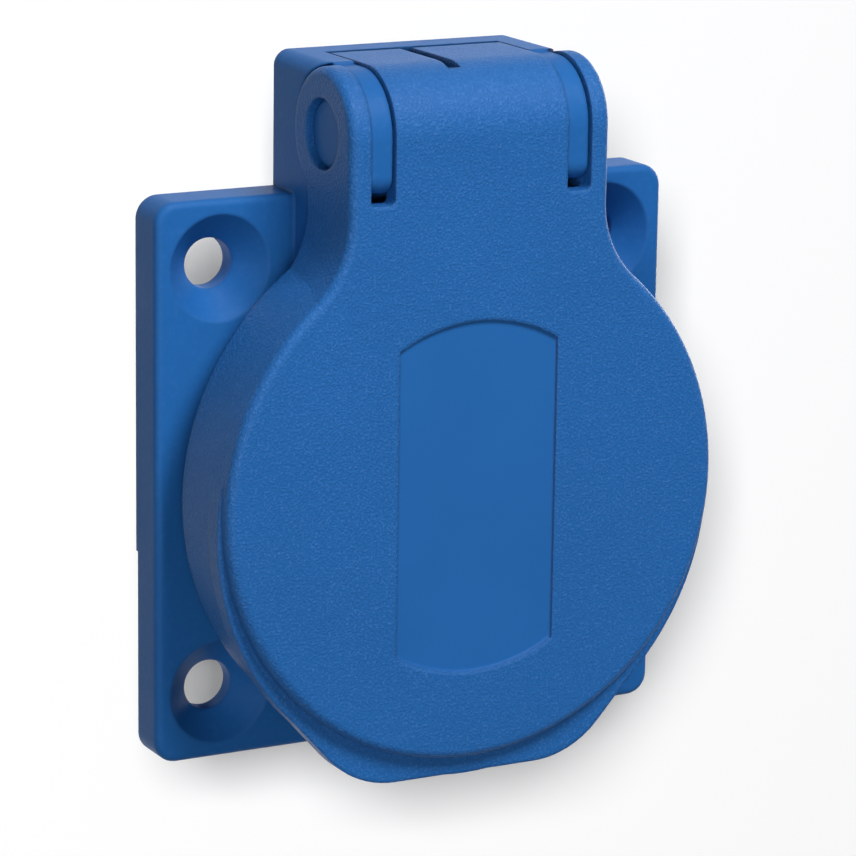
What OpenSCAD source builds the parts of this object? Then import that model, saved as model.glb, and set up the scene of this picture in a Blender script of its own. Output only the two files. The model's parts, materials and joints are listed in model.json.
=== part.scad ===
// Panel socket outlet, 16 A with side earth clips, sprung hinged lid.
// Units are millimetres. X points right, Y points back through the panel, Z points up.
// The panel's face is the plane y = 0, and the socket's axis runs along Y through the origin.

/* [View] */
// piece to draw
// number of sides of a full circle
facets = 96; // [48:8:160]

/* [Flange] */
// side of the square mounting flange
flange_w = 50; // [46:0.5:60]
// thickness of the flange
flange_t = 4.3; // [3:0.1:6]
// radius of the flange's corners
flange_corner_r = 2; // [1.5:0.1:6]
// rounding of the flange's front edge
flange_edge_r = 0.6; // [0.3:0.1:1.4]
// distance between fixing holes, both ways
hole_pitch = 38; // [36:0.5:44]
// diameter of a fixing hole
hole_d = 4.5; // [4:0.1:5.5]
// diameter of the countersink at the front
sink_d = 9.4; // [8:0.1:11]
// depth of the relief along the lower part of the flange's back edge
relief_t = 0.35; // [0.2:0.05:0.6]
// height below which the back edge is relieved
relief_z = -6.5; // [-12:0.5:0]
// width of the full back face outside the panel seal
relief_land = 0.8; // [0.5:0.1:1]

/* [Collar and well] */
// wall of the collar under the lid
collar_wall = 1.6; // [1.4:0.1:2]
// how far the collar's rim stands in front of the panel
collar_front = 13.2; // [12:0.1:14]
// inner diameter of the plug well
well_d = 39.4; // [38:0.1:40.4]
// depth of the plug well
well_depth = 17.5; // [17:0.1:18.5]
// width of the step that the socket face seats on
face_step = 0.4; // [0.3:0.05:0.8]
// wall of the body around the insert
body_wall = 0.8; // [0.7:0.05:1.2]
// width of the two guide ribs in the well
rib_w = 5; // [4:0.1:6]
// height of the guide ribs
rib_h = 1.4; // [1:0.1:2]

/* [Lid] */
// distance from the panel to the lid's face
lid_front = 16.3; // [15:0.1:18]
// depth of the lid, face to back edge
lid_depth = 8.4; // [7:0.1:9]
// gap between the collar and the lid's skirt
lid_room = 1.3; // [1:0.1:2]
// how much smaller the lid's radius is at its face than at its back edge
lid_taper = 0.4; // [0:0.05:0.8]
// how far the lid's centre lies below the flange's centre
lid_drop = 0.4; // [0:0.1:1]
// thickness of the lid's face
lid_plate_t = 2; // [1.5:0.1:3]
// thickness of the lid's skirt
lid_wall = 1.6; // [1.2:0.1:2]
// rounding of the lid's front edge
lid_edge_r = 0.8; // [0.3:0.1:1.2]
// half of the label field's width
label_half_w = 7.7; // [6:0.1:9]
// top of the label field
label_top = 15.1; // [12:0.1:17]
// bottom of the label field
label_bottom = -16.3; // [-18:0.1:-12]
// radius of the label field's ends
label_end_r = 15; // [12:0.5:20]
// depth of the label field
label_t = 0.3; // [0.1:0.05:0.5]

/* [Lift tab] */
// half of the tab's flat lower edge
tab_half_w = 6.9; // [6:0.05:9]
// how far the tab reaches below the lid's disc
tab_reach = 1.3; // [0.8:0.1:3]
// radius of the tab's corners
tab_corner_r = 8.7; // [6:0.1:9]
// thickness of the tab
tab_t = 2; // [1.5:0.1:3]
// how far the tab lies behind the lid's face
tab_set_back = 1.4; // [0.5:0.1:2]
// how far the tab's round part is shifted below the lid's centre
tab_shift = 1.5; // [0.5:0.1:2]

/* [Neck and hinge] */
// width of the lid's neck
neck_w = 25; // [22:0.5:28]
// radius of the curve between neck and disc
gusset_r = 9; // [6:0.5:12]
// distance of the hinge pin in front of the panel
pin_front = 10.6; // [9:0.1:12]
// height of the hinge pin above the lid's disc
pin_over = 7; // [6.8:0.1:9]
// outer radius of the lid's knuckle
knuckle_r = 5.7; // [5:0.1:6.5]
// radius of the hinge pin
pin_r = 3.05; // [2.5:0.05:3.3]
// running clearance of the pin in its holes, at the radius
pin_fit = 0.05; // [0.02:0.01:0.1]
// how far the pin's ends lie inside the arms
pin_inset = 0.6; // [0.2:0.1:1]
// inner face of each hinge slot, from the middle
slot_in = 8.3; // [7.5:0.05:9]
// outer face of each hinge slot, from the middle
slot_out = 10.65; // [10:0.05:11.2]
// how far the hinge slots reach below the pin
slot_drop = 5.5; // [5:0.1:6]
// side gap between a lug and its slot
lug_gap = 0.2; // [0.1:0.05:0.3]
// distance of a lug's front from the panel
lug_front = 15.9; // [14.5:0.1:16]
// gap between a lug's underside and the bottom of its slot
lug_foot = 0.8; // [0.5:0.1:1.5]
// radius of a lug's lower front corner
lug_corner_r = 1.6; // [1:0.1:2]
// thickness of the neck's front wall
neck_wall = 1.8; // [1.4:0.1:2.2]
// gap between turning and fixed round faces
turn_gap = 0.3; // [0.3:0.05:0.5]
// half of the hinge block's width
block_half_w = 11.9; // [11:0.1:12.4]
// rounding of the hinge block's top corners
block_corner_r = 1.4; // [0.5:0.1:2.5]
// front of the pedestal that carries the hinge block
pedestal_front = 7.5; // [6.5:0.1:7.7]
// distance from the panel to the back of the barrel's flap
flap_back = 3.4; // [3:0.1:4.5]
// thickness of the barrel's flap
flap_t = 2; // [1.5:0.1:2.5]
// middle of the spring slot on top of the barrel
notch_x = -1; // [-1.5:0.1:1]
// width of the spring slot
notch_w = 1.2; // [1.2:0.1:2]
// how far the spring slot reaches in front of the panel
notch_front = 12.7; // [11:0.1:14]

/* [Spring and seals] */
// diameter of the spring's wire
wire_d = 0.8; // [0.6:0.05:1]
// turns of the spring
spring_turns = 6; // [4:1:6]
// width of the lid's gasket
gasket_w = 1.9; // [1.4:0.1:2.4]
// how far the gasket reaches past the outside of the collar
gasket_lap = 0.4; // [0.2:0.05:0.8]
// depth of the gasket's seat in the lid
gasket_seat_t = 0.5; // [0.3:0.1:0.8]
// gap between the gasket and the collar's rim
gasket_gap = 0.3; // [0.2:0.05:0.4]
// gap between the body and the panel seal
seal_gap = 1.1; // [0.9:0.1:1.5]
// width of the panel seal
seal_w = 1.4; // [1:0.1:1.8]
// thickness of the panel seal
seal_t = 1; // [0.6:0.1:1.5]

/* [Insert] */
// thickness of the socket face
face_t = 4; // [3:0.1:5]
// thickness of the socket face's rim
face_rim_t = 2; // [1.5:0.1:2.5]
// distance between the two current contacts
pin_pitch = 19; // [18.5:0.1:19.5]
// diameter of a pin hole in the face
pin_hole_d = 5.2; // [5:0.1:5.8]
// thickness of the terminal carrier's plate
carrier_plate_t = 4; // [3:0.1:5]
// wall of the terminal block beside the outer cages
carrier_side = 0.7; // [0.4:0.1:2]
// wall of the carrier behind the contact tubes
carrier_back_t = 0.8; // [0.6:0.1:3]
// width of the locking ring
ring_w = 2.65; // [2:0.05:3]
// thickness of the locking ring
ring_t = 0.9; // [0.7:0.1:2]
// outer radius of a contact tube
tube_r = 3.2; // [2.9:0.1:3.6]
// inner radius of a contact tube
tube_bore_r = 2.35; // [2.2:0.05:2.5]
// length of a plug's pin that a contact tube takes
pin_len = 19; // [18:0.1:19.5]
// side of a terminal cage
cage_w = 7.4; // [6.5:0.1:8]
// length of a terminal cage
cage_len = 6.8; // [5:0.1:9]
// thickness of the sheet metal of the earth strap
strap_t = 0.8; // [0.6:0.1:1.2]
// width of the earth strap
strap_w = 6.4; // [5:0.1:8]
// radius of a terminal screw's shank
screw_r = 1.6; // [1.2:0.1:2]
// radius of a terminal screw's head
screw_head_r = 2.6; // [2:0.1:3]
// radius of a carrier screw's shank
cscrew_r = 1.4; // [1:0.1:1.8]
// fit clearance between fixed pieces, at the radius
fit = 0.1; // [0.05:0.01:0.2]

/* [Hidden] */
$fn = facets;
eps = 0.02;
plastic_blue = [0.15, 0.38, 0.65];
plastic_grey = [0.3, 0.32, 0.34];
steel = [0.72, 0.72, 0.74];
brass = [0.8, 0.65, 0.3];
rubber = [0.1, 0.1, 0.1];

well_r = well_d / 2;
collar_r = well_r + collar_wall;
insert_r = well_r + face_step;
body_r = insert_r + body_wall;
well_floor = well_depth - collar_front;
face_back = well_floor + face_t;
ring_front = well_floor + face_rim_t;
body_len = ring_front + ring_t + 0.2;
seal_in_r = body_r + seal_gap;
seal_out_r = seal_in_r + seal_w;
relief_r = seal_out_r + relief_land;

lid_back = lid_front - lid_depth;
lid_in_r = collar_r + lid_room;
lid_back_r = lid_in_r + lid_wall;
lid_face_r = lid_back_r - lid_taper;
lid_inside = lid_front - lid_plate_t;
gasket_out_r = collar_r + gasket_lap;
gasket_in_r = gasket_out_r - gasket_w;
tab_bottom = -lid_back_r - tab_reach;

pin_up = lid_back_r + pin_over;
block_top = pin_up + knuckle_r;
slot_bottom = pin_up - slot_drop;
lug_bottom = slot_bottom + lug_foot;
neck_half = neck_w / 2;
recess_r = knuckle_r + turn_gap;
flap_r = norm([pin_front - flap_back, block_top - pin_up]);
pocket_r = flap_r + turn_gap;
lug_in = slot_in + lug_gap;
lug_out = slot_out - lug_gap;
coil_r = pin_r + 0.2 + wire_d / 2;
cavity_r = coil_r + wire_d / 2 + turn_gap;
cavity_half = 6.4;
leg_x = notch_x;
lid_leg = 5.8;
seat_front = 4;
seat_back = 1;

ring_bore_r = insert_r - ring_w;
face_boss_r = ring_bore_r - 0.25;
carrier_r = face_boss_r - 0.4;
contact_front = face_back + 0.5;
tube_back = well_floor + pin_len + 0.3;
carrier_back = tube_back + carrier_back_t;
cage_front = carrier_back - cage_len - 0.4;
cage_mid = cage_front + cage_len / 2;
cage_z = 0.4 - tube_r - cage_w / 2;
cage_in_w = cage_w - 2.2;
cage_in_h = cage_w - 3;
clamp_t = 1;
screw_len = 3.2;
screw_head_t = 1.8;
screw_tip = cage_in_h / 2 - 0.25;
screw_top = screw_tip + screw_len + screw_head_t;
tube_spring_t = 0.42;
tube_spring_len = 2.8;
strap_z = well_r - 1.1;
clip_set_back = 4.4;
clip_hump = 1.5;
clip_run = 3.6;
leg_z = cage_z + cage_w / 2;
cscrew_x = strap_w / 2 + screw_head_r + 1.7;
cscrew_z = carrier_r - screw_head_r - 2.2;
cscrew_seat = face_back + carrier_plate_t;
carrier_half_w = pin_pitch / 2 + cage_w / 2 + carrier_side;
carrier_top = cscrew_z - screw_head_r - 0.6;
carrier_bottom = cage_z - screw_top - 0.75;

// shapes

module rod_y(r, y0, y1) {
    translate([0, y0, 0])
        rotate([-90, 0, 0])
            cylinder(h = y1 - y0, r = r);
}

module cone_y(y0, r0, y1, r1) {
    translate([0, y0, 0])
        rotate([-90, 0, 0])
            cylinder(h = y1 - y0, r1 = r0, r2 = r1);
}

module rod_x(r, x0, x1) {
    translate([x0, 0, 0])
        rotate([0, 90, 0])
            cylinder(h = x1 - x0, r = r);
}

module rod_z(r, z0, z1) {
    translate([0, 0, z0])
        cylinder(h = z1 - z0, r = r);
}

module block(x0, x1, y0, y1, z0, z1) {
    translate([x0, y0, z0])
        cube([x1 - x0, y1 - y0, z1 - z0]);
}

// turns a section about the Y axis, drawn as radius and distance in front of the panel
module turned_y() {
    rotate([90, 0, 0])
        rotate_extrude()
            children();
}

// draws a section in Y and Z and pulls it along X
module across(x0, x1) {
    translate([x0, 0, 0])
        rotate([90, 0, 90])
            linear_extrude(x1 - x0)
                children();
}

// draws an outline in X and Z and pulls it from y0 back to y1
module facing(y0, y1) {
    translate([0, y1, 0])
        rotate([90, 0, 0])
            linear_extrude(y1 - y0)
                children();
}

// places children on the hinge axis
module at_pin() {
    translate([0, -pin_front, pin_up])
        children();
}

// cross-section of a bar with two rounded front edges
module soft_section(w, front, back, r) {
    translate([-w / 2, -front + r])
        square([w, front - back - r]);
    translate([-w / 2 + r, -front])
        square([w - 2 * r, front - back]);
    for (s = [-1, 1])
        translate([s * (w / 2 - r), -front + r])
            circle(r);
}

// bar along Z with rounded front edges
module soft_bar(w, front, back, r, z0, z1) {
    translate([0, 0, z0])
        linear_extrude(z1 - z0)
            soft_section(w, front, back, r);
}

// disc with a rounded front edge
module soft_disc(rad, front, back, r) {
    turned_y() {
        translate([0, back])
            square([rad, front - back - r]);
        translate([0, back])
            square([rad - r, front - back]);
        translate([rad - r, front - r])
            circle(r);
    }
}

// square plate with rounded corners and a rounded front edge
module soft_plate(w, t, corner, r) {
    reach = w / 2 - corner;
    soft_bar(w, t, 0, r, -reach, reach);
    rotate([0, 90, 0])
        soft_bar(w, t, 0, r, -reach, reach);
    for (sx = [-1, 1])
        for (sz = [-1, 1])
            translate([sx * reach, 0, sz * reach])
                soft_disc(corner, t, 0, r);
}

// housing

module fixing_holes() {
    sink_depth = (sink_d - hole_d) / 2;
    for (sx = [-1, 1])
        for (sz = [-1, 1])
            translate([sx * hole_pitch / 2, 0, sz * hole_pitch / 2]) {
                rod_y(hole_d / 2, -flange_t - 1, 1);
                cone_y(-flange_t, sink_d / 2, -flange_t + sink_depth, hole_d / 2);
                cone_y(-flange_t - 1, sink_d / 2 + 1, -flange_t, sink_d / 2);
            }
}

module rear_relief() {
    difference() {
        block(-flange_w, flange_w, -relief_t, 1, -flange_w, relief_z);
        rod_y(relief_r, -relief_t - 1, 2);
    }
}

module collar_and_body() {
    rim_r = 0.4;
    turned_y() {
        difference() {
            translate([0, -body_len])
                square([body_r, body_len]);
            translate([0, -body_len - 1])
                square([insert_r, body_len + 1 - well_floor]);
            translate([0, -well_floor - 1])
                square([well_r, well_floor + 2]);
        }
        difference() {
            square([collar_r, collar_front - rim_r]);
            translate([0, -1])
                square([well_r, collar_front + 1]);
        }
        translate([well_r + rim_r, collar_front - 2 * rim_r])
            square([collar_r - well_r - 2 * rim_r, 2 * rim_r]);
        for (r = [well_r + rim_r, collar_r - rim_r])
            translate([r, collar_front - rim_r])
                circle(rim_r);
    }
}

module guide_ribs() {
    lead = 1.6;
    for (s = [-1, 1])
        intersection() {
            block(min(s * (well_r - rib_h), s * (well_r + 0.6)), max(s * (well_r - rib_h), s * (well_r + 0.6)),
                -collar_front + lead, well_floor, -rib_w / 2, rib_w / 2);
            rod_y(well_r + 0.5, -collar_front, well_floor);
        }
}

module hinge_block_outline() {
    reach = block_half_w - block_corner_r;
    translate([-block_half_w, 12])
        square([2 * block_half_w, block_top - block_corner_r - 12]);
    translate([-reach, 12])
        square([2 * reach, block_top - 12]);
    for (s = [-1, 1])
        translate([s * reach, block_top - block_corner_r])
            circle(block_corner_r);
}

module hinge_block() {
    top_front = pin_front - 2;
    difference() {
        facing(-top_front, 0)
            hinge_block_outline();
        block(-flange_w, flange_w, -flange_w, -pedestal_front, 0, pin_up);
        rod_y(well_r + 0.5, -flange_w, 1);
        for (s = [-1, 1])
            translate([s * (lug_out + 5), 0, 0])
                at_pin()
                    rod_x(recess_r, -5, 5);
    }
}

module lug_side() {
    round_r = knuckle_r - 0.25;
    centre_y = -lug_front + round_r;
    corner = lug_corner_r;
    translate([centre_y, pin_up])
        circle(round_r);
    translate([-lug_front, lug_bottom + corner])
        square([lug_front - pedestal_front + 1, pin_up - lug_bottom - corner]);
    translate([-lug_front + corner, lug_bottom])
        square([lug_front - corner - pedestal_front + 1, pin_up - lug_bottom]);
    translate([-lug_front + corner, lug_bottom + corner])
        circle(corner);
    translate([centre_y, lug_bottom])
        square([-centre_y - 1, pin_up + round_r - lug_bottom]);
}

module lugs() {
    across(lug_in, lug_out)
        lug_side();
    across(-lug_out, -lug_in)
        lug_side();
}

module housing() {
    color(plastic_blue)
        difference() {
            union() {
                difference() {
                    union() {
                        soft_plate(flange_w, flange_t, flange_corner_r, flange_edge_r);
                        hinge_block();
                        lugs();
                    }
                    rod_y(well_r + 0.5, -flange_w, 1);
                    at_pin()
                        rod_x(pocket_r, -lug_in, lug_in);
                }
                collar_and_body();
                guide_ribs();
            }
            fixing_holes();
            rear_relief();
            turned_y()
                translate([seal_in_r - fit, -1])
                    square([seal_out_r - seal_in_r + 2 * fit, seal_t + 1]);
            at_pin()
                rod_x(pin_r + pin_fit, -neck_half, neck_half);
            spring_seat();
        }
}

// lid

module lid_disc() {
    turned_y() {
        polygon([[0, lid_back], [lid_back_r, lid_back], [lid_face_r, lid_front - lid_edge_r],
            [lid_face_r - lid_edge_r, lid_front], [0, lid_front]]);
        translate([lid_face_r - lid_edge_r, lid_front - lid_edge_r])
            circle(lid_edge_r);
    }
}

// round plate drawn out to a lip below, its flanks tucked in so that they end inside the round part
module tab_outline() {
    big_r = lid_back_r - 0.1;
    corner_z = tab_bottom + tab_corner_r;
    reach = norm([tab_half_w, corner_z + tab_shift]);
    tuck = 0.5;
    lean = atan2(corner_z + tab_shift, tab_half_w) + acos((big_r - tab_corner_r) / reach) + tuck;
    run = sqrt(reach * reach - pow(big_r - tab_corner_r, 2));
    low = [tab_half_w, corner_z] + tab_corner_r * [cos(lean), sin(lean)];
    high = low + run * [-sin(lean), cos(lean)];
    translate([0, -tab_shift])
        circle(big_r);
    for (s = [-1, 1])
        translate([s * tab_half_w, corner_z])
            circle(tab_corner_r);
    polygon([[-tab_half_w, corner_z - tab_corner_r], [tab_half_w, corner_z - tab_corner_r], low, high,
        [-high[0], high[1]], [-low[0], low[1]]]);
}

module tab_plate() {
    front = lid_front - tab_set_back;
    facing(-front, tab_t - front)
        tab_outline();
}

// takes the hollow curve between neck and disc, and rounds its front edge
module gusset_cutter() {
    turned_y() {
        square([gusset_r, lid_front + 1]);
        difference() {
            translate([0, lid_front - lid_edge_r])
                square([gusset_r + lid_edge_r, lid_edge_r + 1]);
            translate([gusset_r + lid_edge_r, lid_front - lid_edge_r])
                circle(lid_edge_r);
        }
    }
}

// the hollow curves run tangent to the disc's front edge and end a hair before the tangent point
module gussets() {
    tuck = 0.4;
    cx = neck_half + gusset_r;
    cz = sqrt(pow(lid_face_r + gusset_r, 2) - cx * cx) - lid_drop;
    meet_x = cx * lid_face_r / (lid_face_r + gusset_r) - tuck;
    meet_z = (cz + lid_drop) * lid_face_r / (lid_face_r + gusset_r) - lid_drop;
    for (s = [-1, 1])
        difference() {
            block(s > 0 ? 6 : -meet_x, s > 0 ? meet_x : -6, -lid_front, -lid_back, meet_z, cz);
            translate([s * cx, 0, cz])
                gusset_cutter();
        }
}

// one arm of the hinge, with its outer edge rounded
module arm(s) {
    at_pin()
        mirror([s < 0 ? 1 : 0, 0, 0])
            rotate([0, 90, 0])
                rotate_extrude() {
                    translate([0, slot_in])
                        square([knuckle_r, neck_half - slot_in - lid_edge_r]);
                    translate([0, slot_in])
                        square([knuckle_r - lid_edge_r, neck_half - slot_in]);
                    translate([knuckle_r - lid_edge_r, neck_half - lid_edge_r])
                        circle(lid_edge_r);
                }
}

module barrel() {
    across(-slot_in, slot_in) {
        translate([-pin_front, pin_up])
            circle(knuckle_r);
        translate([-pin_front, pin_up + knuckle_r - flap_t])
            square([pin_front - flap_back - 0.4, flap_t]);
        translate([-pin_front, pin_up + knuckle_r - flap_t + 0.4])
            square([pin_front - flap_back, flap_t - 0.8]);
        for (z = [0.4, flap_t - 0.4])
            translate([-flap_back - 0.4, pin_up + knuckle_r - flap_t + z])
                circle(0.4);
    }
}

module label_field() {
    facing(-lid_front - 1, -lid_front + label_t)
        intersection() {
            translate([-label_half_w, label_bottom])
                square([2 * label_half_w, label_top - label_bottom]);
            union() {
                translate([0, label_top - label_end_r])
                    circle(label_end_r);
                translate([0, label_bottom + label_end_r])
                    circle(label_end_r);
            }
        }
}

module hinge_slots() {
    corner = 0.5;
    w = slot_out - slot_in;
    tall = block_top + 1 - slot_bottom;
    for (s = [-1, 1])
        translate([s * (slot_in + slot_out) / 2, 0, 0])
            facing(-lid_front - 1, 0) {
                translate([-w / 2, slot_bottom + corner])
                    square([w, tall - corner]);
                translate([-w / 2 + corner, slot_bottom])
                    square([w - 2 * corner, tall]);
                for (c = [-1, 1])
                    translate([c * (w / 2 - corner), slot_bottom + corner])
                        circle(corner);
            }
}

// room inside the neck and the barrel
module neck_room() {
    floor_z = lid_back_r - lid_drop - 0.2;
    block(-slot_out, slot_out, -lid_front + neck_wall, 0, floor_z, pin_up - knuckle_r);
    block(-cavity_half, cavity_half, -pin_front - cavity_r, 0, floor_z, pin_up);
    for (s = [-1, 1])
        block(min(s * slot_in, s * slot_out), max(s * slot_in, s * slot_out),
            -lid_front + neck_wall, 0, floor_z, pin_up);
    at_pin()
        rod_x(cavity_r, -cavity_half, cavity_half);
}

module lid() {
    color(plastic_blue)
        difference() {
            union() {
                difference() {
                    union() {
                        translate([0, 0, -lid_drop]) {
                            lid_disc();
                            tab_plate();
                        }
                        gussets();
                        soft_bar(neck_w, lid_front, lid_back, lid_edge_r, 10, pin_up);
                        arm(1);
                        arm(-1);
                    }
                    neck_room();
                    block(-slot_out, slot_out, -lid_front + neck_wall, 0, pin_up - 8, pin_up + 8);
                }
                difference() {
                    barrel();
                    neck_room();
                }
            }
            translate([0, 0, -lid_drop])
                turned_y()
                    square([lid_in_r, lid_inside]);
            turned_y()
                difference() {
                    square([gasket_out_r + fit, lid_inside + gasket_seat_t]);
                    square([gasket_in_r - fit, lid_inside + gasket_seat_t]);
                }
            hinge_slots();
            label_field();
            block(notch_x - notch_w / 2, notch_x + notch_w / 2, -notch_front, 0, pin_up, block_top + 1);
            at_pin()
                rod_x(pin_r + pin_fit, -neck_half - 1, neck_half + 1);
        }
}

// hinge pin and spring

module hinge_pin() {
    half = neck_half - pin_inset;
    chamfer = 0.3;
    color(plastic_blue)
        at_pin()
            rotate([0, 90, 0])
                rotate_extrude()
                    polygon([[0, -half], [pin_r - chamfer, -half], [pin_r, -half + chamfer],
                        [pin_r, half - chamfer], [pin_r - chamfer, half], [0, half]]);
}

// blind hole for the spring's fixed leg in the pocket's rear wall
module spring_seat() {
    translate([leg_x, 0, pin_up + coil_r])
        rod_y(wire_d / 2 + fit, -seat_front, -seat_back);
}

// the turns stand a hair apart and are joined by a thin bar inside the wire
module lid_spring() {
    wire_r = wire_d / 2;
    pitch = wire_d * 1.04;
    last = (spring_turns - 1) * pitch;
    leg_r = wire_r - 0.03;
    color(steel)
        translate([leg_x, -pin_front, pin_up]) {
            for (i = [0:spring_turns - 1])
                translate([-i * pitch, 0, 0])
                    rotate([0, 90, 0])
                        rotate_extrude()
                            translate([coil_r, 0])
                                circle(wire_r);
            translate([0, 0, coil_r])
                rod_y(leg_r, -wire_r, pin_front - seat_back - fit);
            translate([-last, -coil_r, 0])
                rod_z(leg_r, -lid_leg, wire_r);
            translate([0, 0, -coil_r])
                rod_x(wire_r * 0.6, -last, 0);
        }
}

// seals

module lid_gasket() {
    color(rubber)
        turned_y()
            translate([gasket_in_r, collar_front + gasket_gap])
                square([gasket_out_r - gasket_in_r,
                    lid_inside + gasket_seat_t - collar_front - gasket_gap - 0.05]);
}

module panel_seal() {
    color(rubber)
        turned_y()
            translate([seal_in_r, 0])
                square([seal_out_r - seal_in_r, seal_t - 0.05]);
}

// insert

// places children on a terminal's middle line, with the screw's side turned down
module at_terminal(x) {
    translate([x, 0, cage_z])
        rotate([0, 180, 0])
            children();
}

module socket_face() {
    slot_low = strap_z - 1.9;
    slot_high = strap_z + 0.6;
    color(plastic_grey)
        difference() {
            union() {
                rod_y(insert_r - fit, well_floor, ring_front);
                rod_y(face_boss_r, well_floor, face_back);
            }
            for (s = [-1, 1]) {
                translate([s * pin_pitch / 2, 0, 0]) {
                    rod_y(pin_hole_d / 2, well_floor - 1, face_back + 1);
                    cone_y(well_floor - eps, pin_hole_d / 2 + 0.6, well_floor + 0.6, pin_hole_d / 2);
                }
                block(-strap_w / 2 - 0.3, strap_w / 2 + 0.3, well_floor - 1, face_back + 1,
                    min(s * slot_low, s * slot_high), max(s * slot_low, s * slot_high));
                translate([s * cscrew_x, 0, cscrew_z])
                    rod_y(cscrew_r + 0.05, well_floor + 1, face_back + 1);
            }
        }
}

module rear_ring() {
    notch = 3;
    color(plastic_grey)
        difference() {
            rod_y(insert_r - fit, ring_front, ring_front + ring_t);
            rod_y(ring_bore_r, ring_front - 1, body_len + 1);
            block(-strap_w / 2 - 0.4, strap_w / 2 + 0.4, ring_front - 1, body_len + 1,
                -strap_z - 0.5, strap_z + 0.5);
            for (x = [-1, 1])
                block(min(x * (ring_bore_r - 1), x * (ring_bore_r + 1.2)),
                    max(x * (ring_bore_r - 1), x * (ring_bore_r + 1.2)), ring_front - 1, body_len + 1,
                    -notch / 2, notch / 2);
        }
}

module carrier_block() {
    corner = 2.5;
    facing(face_back, carrier_back) {
        translate([-carrier_half_w + corner, carrier_bottom])
            square([2 * (carrier_half_w - corner), carrier_top - carrier_bottom]);
        translate([-carrier_half_w, carrier_bottom + corner])
            square([2 * carrier_half_w, carrier_top - carrier_bottom - 2 * corner]);
        for (x = [-carrier_half_w + corner, carrier_half_w - corner])
            for (z = [carrier_bottom + corner, carrier_top - corner])
                translate([x, z])
                    circle(corner);
    }
}

module terminal_carrier() {
    color(plastic_grey)
        difference() {
            union() {
                rod_y(carrier_r, face_back, face_back + carrier_plate_t);
                carrier_block();
            }
            for (x = [-pin_pitch / 2, pin_pitch / 2])
                translate([x, 0, 0])
                    rod_y(tube_r + 0.7, face_back - 1, tube_back + 0.1);
            for (x = [-pin_pitch / 2, 0, pin_pitch / 2])
                at_terminal(x) {
                    block(-cage_w / 2 - fit, cage_w / 2 + fit, cage_front - 0.1, carrier_back + 1,
                        -cage_w / 2 - fit, cage_w / 2 + fit);
                    translate([0, cage_mid, 0])
                        rod_z(screw_head_r + 0.3, 0, 2 * carrier_r);
                }
            block(-strap_w / 2 - 0.2, strap_w / 2 + 0.2, face_back - 1, face_back + strap_t + 0.2,
                -2 * carrier_r, 2 * carrier_r);
            block(-strap_w / 2 - 0.2, strap_w / 2 + 0.2, face_back - 1, cage_front + 1,
                leg_z - strap_t - 0.1, leg_z + 0.1);
            for (s = [-1, 1])
                translate([s * cscrew_x, 0, cscrew_z])
                    rod_y(cscrew_r + 0.15, face_back - 1, carrier_back + 1);
        }
}

// terminal cage, open towards the back for the wire
module cage() {
    difference() {
        block(-cage_w / 2, cage_w / 2, cage_front, cage_front + cage_len, -cage_w / 2, cage_w / 2);
        block(-cage_in_w / 2, cage_in_w / 2, cage_front + 1, cage_front + cage_len + 1,
            -cage_in_h / 2, cage_in_h / 2);
        translate([0, cage_mid, 0])
            rod_z(screw_r + 0.05, 0, cage_w);
    }
}

// slotted tube with its terminal cage under it
module contact() {
    slit = 0.7;
    slit_back = cage_front - 1.2;
    color(brass) {
        difference() {
            rod_y(tube_r, contact_front, tube_back);
            rod_y(tube_bore_r, contact_front - 1, tube_back - 0.3);
            cone_y(contact_front - eps, tube_bore_r + 0.4, contact_front + 0.5, tube_bore_r);
            block(-tube_r - 1, tube_r + 1, contact_front - 1, slit_back, -slit / 2, slit / 2);
            block(-slit / 2, slit / 2, contact_front - 1, slit_back, -tube_r - 1, tube_r + 1);
        }
        at_terminal(0)
            cage();
    }
}

module live_contact() {
    translate([-pin_pitch / 2, 0, 0])
        contact();
}

module neutral_contact() {
    translate([pin_pitch / 2, 0, 0])
        contact();
}

module contact_spring() {
    start = contact_front + 1.6;
    color(steel)
        difference() {
            rod_y(tube_r + 0.03 + tube_spring_t, start, start + tube_spring_len);
            rod_y(tube_r + 0.03, start - 1, start + tube_spring_len + 1);
            block(-1, 1, start - 1, start + tube_spring_len + 1, -tube_r - 1, 0);
        }
}

module live_contact_spring() {
    translate([-pin_pitch / 2, 0, 0])
        contact_spring();
}

module neutral_contact_spring() {
    translate([pin_pitch / 2, 0, 0])
        contact_spring();
}

// side view of one earth clip: up from the strap, out through the face, with a contact hump
module clip_side() {
    t = strap_t;
    hump = clip_hump;
    tip = -collar_front + clip_set_back;
    hump_y = tip + clip_run;
    rear_y = hump_y + clip_run;
    polygon([[face_back, strap_z], [rear_y, strap_z - 0.2], [hump_y, strap_z - hump], [tip, strap_z - 0.3],
        [tip, strap_z - 0.3 - t], [hump_y - 0.2, strap_z - hump - t], [rear_y, strap_z - 0.2 - t],
        [face_back, strap_z - t]]);
}

module earth_strap() {
    half = strap_w / 2;
    reach = strap_z - strap_t / 2;
    bar_front = face_back + 0.1;
    color(brass) {
        block(-half, half, bar_front, bar_front + strap_t, -reach, reach);
        for (s = [0, 1])
            mirror([0, 0, s]) {
                across(-half, half)
                    clip_side();
                block(-half, half, face_back - eps, bar_front + strap_t, strap_z - strap_t, strap_z);
            }
        block(-half, half, bar_front, cage_front + 0.5, leg_z - strap_t, leg_z);
        at_terminal(0)
            cage();
    }
}

module clamp() {
    color(steel)
        block(-cage_in_w / 2 + 0.2, cage_in_w / 2 - 0.2, cage_front + 1.2, cage_front + cage_len - 0.2,
            cage_in_h / 2 - 0.3 - clamp_t, cage_in_h / 2 - 0.3);
}

module live_clamp() {
    at_terminal(-pin_pitch / 2)
        clamp();
}

module neutral_clamp() {
    at_terminal(pin_pitch / 2)
        clamp();
}

module earth_clamp() {
    at_terminal(0)
        clamp();
}

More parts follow.
